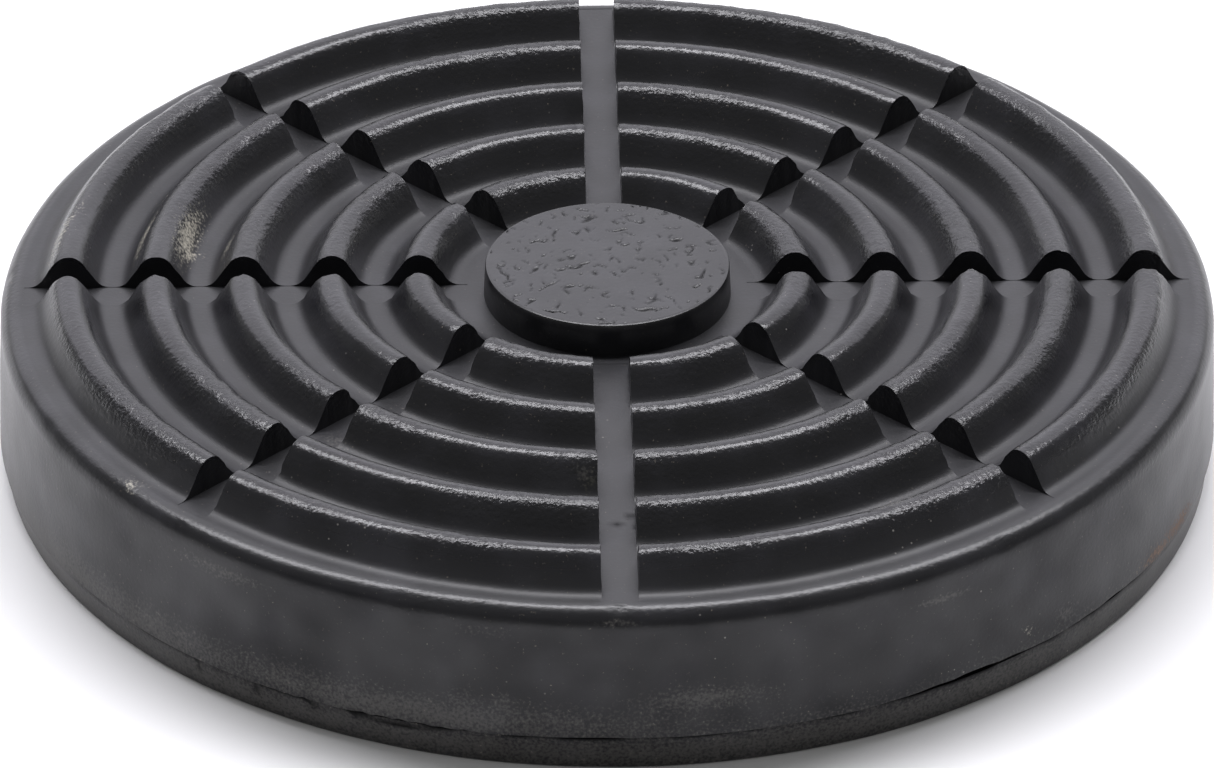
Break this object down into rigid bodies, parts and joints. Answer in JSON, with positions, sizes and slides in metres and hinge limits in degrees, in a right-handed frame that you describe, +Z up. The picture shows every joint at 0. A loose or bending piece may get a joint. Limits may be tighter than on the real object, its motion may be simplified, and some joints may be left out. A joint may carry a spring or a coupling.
{
  "type": "lift arm rubber pad",
  "caption": "Round moulded rubber pad for a vehicle lift's arm, with concentric rounded ribs, radial slots and a raised centre disc on a plain flat base.",
  "frame": {"origin": "centre of the flat underside", "axes": "+Z up out of the ribbed face; two of the four slot lines run along X and Y"},
  "size_m": [0.12, 0.12, 0.0208],
  "materials": {
    "rubber": "black moulded rubber, satin, with worn and pitted rib crests, a trimmed parting line and light dirt"
  },
  "bodies": {
    "root": {"pad": "rubber"}
  },
  "joints": []
}
